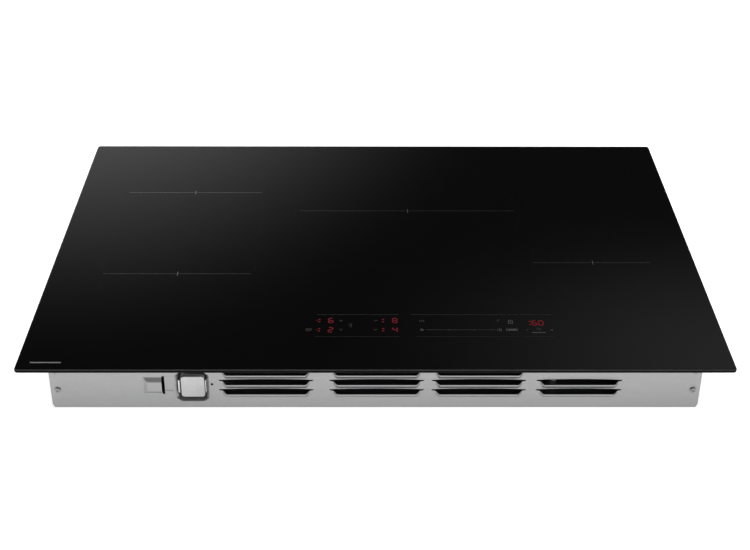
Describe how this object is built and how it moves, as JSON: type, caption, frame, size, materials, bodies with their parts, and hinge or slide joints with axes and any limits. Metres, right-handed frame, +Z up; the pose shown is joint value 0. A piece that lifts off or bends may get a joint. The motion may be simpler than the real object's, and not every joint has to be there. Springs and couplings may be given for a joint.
{
  "type": "electric induction cooktop",
  "caption": "Built-in induction cooktop: black glass plate with printed cooking zones and lit touch controls over a louvred steel tray.",
  "frame": {"origin": "under the middle of the appliance, on the plane of the tray's bottom", "axes": "+X to the user's right, +Y to the back, +Z up through the glass"},
  "size_m": [0.762, 0.54, 0.068],
  "materials": {
    "glass_black": "polished black glass-ceramic, opaque",
    "seal_foam": "matt foam tape",
    "silicone": "satin black silicone",
    "galvanised_sheet": "satin bare galvanised sheet",
    "zinc_screw": "bright zinc plating",
    "pad_steel": "satin stainless steel",
    "spring_steel": "spring steel",
    "fan_plastic": "matt black glass-filled plastic",
    "rotor_plastic": "satin dark grey plastic",
    "circuit_board": "solder-masked fibreglass",
    "heatsink_aluminium": "extruded aluminium",
    "transistor_epoxy": "moulded epoxy",
    "capacitor_film": "potted plastic box",
    "capacitor_sleeve": "shrink sleeve",
    "choke_wire": "enamelled copper wire",
    "white_nylon": "natural nylon",
    "ivory_plastic": "satin ivory plastic",
    "cover_plastic": "satin ivory plastic",
    "dark_plastic": "satin dark plastic",
    "bushing_nylon": "satin black nylon",
    "display_plastic": "display face, lit red",
    "ribbon_vinyl": "grey vinyl",
    "plate_aluminium": "mill finish",
    "carrier_plastic": "dark phenolic",
    "litz_wire": "lacquered copper litz",
    "ferrite": "sintered ferrite",
    "mica": "pressed mica",
    "sensor_silicone": "red silicone sleeve"
  },
  "bodies": {
    "chassis": {"glass_plate": "glass_black", "worktop_seal": "seal_foam", "frame_adhesive": "silicone", "mounting_frame": "galvanised_sheet", "base_tray": "galvanised_sheet", "side_panel_left": "galvanised_sheet", "side_panel_right": "galvanised_sheet", "front_screws": "zinc_screw", "rear_screws": "zinc_screw", "pad_spring_front": "spring_steel", "pad_spring_rear": "spring_steel", "pad_guide_front": "pad_steel", "pad_guide_rear": "pad_steel", "fan_housing_left": "fan_plastic", "fan_housing_right": "fan_plastic", "fan_screws": "zinc_screw", "inverter_board_left": "circuit_board", "inverter_board_right": "circuit_board", "heatsink_left": "heatsink_aluminium", "heatsink_right": "heatsink_aluminium", "power_transistors": "transistor_epoxy", "film_capacitors": "capacitor_film", "bus_capacitors": "capacitor_sleeve", "filter_chokes": "choke_wire", "mains_filter_board": "circuit_board", "board_standoffs": "white_nylon", "terminal_box": "ivory_plastic", "terminal_block": "dark_plastic", "cable_bushing": "bushing_nylon", "control_holder": "dark_plastic", "control_board": "circuit_board", "led_displays": "display_plastic", "touch_springs": "spring_steel", "ribbon_cable": "ribbon_vinyl", "coil_plate_left": "plate_aluminium", "coil_plate_centre": "plate_aluminium", "coil_plate_right": "plate_aluminium", "coil_carrier_rear_left": "carrier_plastic", "coil_carrier_front_left": "carrier_plastic", "coil_carrier_centre": "carrier_plastic", "coil_carrier_right": "carrier_plastic", "coil_winding_rear_left": "litz_wire", "coil_winding_front_left": "litz_wire", "coil_winding_centre": "litz_wire", "coil_winding_right": "litz_wire", "ferrite_bars_rear_left": "ferrite", "ferrite_bars_front_left": "ferrite", "ferrite_bars_centre": "ferrite", "ferrite_bars_right": "ferrite", "mica_sheet_rear_left": "mica", "mica_sheet_front_left": "mica", "mica_sheet_centre": "mica", "mica_sheet_right": "mica", "coil_sensors": "sensor_silicone", "coil_springs": "spring_steel"},
    "pad_front": {"retaining_pad_front": "pad_steel"},
    "pad_rear": {"retaining_pad_rear": "pad_steel"},
    "fan_left": {"fan_rotor_left": "rotor_plastic"},
    "fan_right": {"fan_rotor_right": "rotor_plastic"},
    "terminal_lid": {"terminal_cover": "cover_plastic"}
  },
  "joints": [
    {"name": "pad_front_push", "type": "slide", "parent": "chassis", "child": "pad_front", "axis": [0, 1, 0], "range_m": [0, 0.004], "stiffness_N_per_m": 1500, "springref_m": -0.002, "deforming": ["pad_spring_front"]},
    {"name": "pad_rear_push", "type": "slide", "parent": "chassis", "child": "pad_rear", "axis": [0, -1, 0], "range_m": [0, 0.004], "stiffness_N_per_m": 1500, "springref_m": -0.002, "deforming": ["pad_spring_rear"]},
    {"name": "fan_left_spin", "type": "hinge", "parent": "chassis", "child": "fan_left", "pos_m": [-0.232, 0.13, 0.012], "axis": [0, 0, 1], "continuous": true},
    {"name": "fan_right_spin", "type": "hinge", "parent": "chassis", "child": "fan_right", "pos_m": [0.262, 0.12, 0.012], "axis": [0, 0, 1], "continuous": true},
    {"name": "terminal_lid_hinge", "type": "hinge", "parent": "chassis", "child": "terminal_lid", "pos_m": [0.17, 0.2495, 0.009], "axis": [-1, 0, 0], "range_deg": [0, 100]}
  ]
}
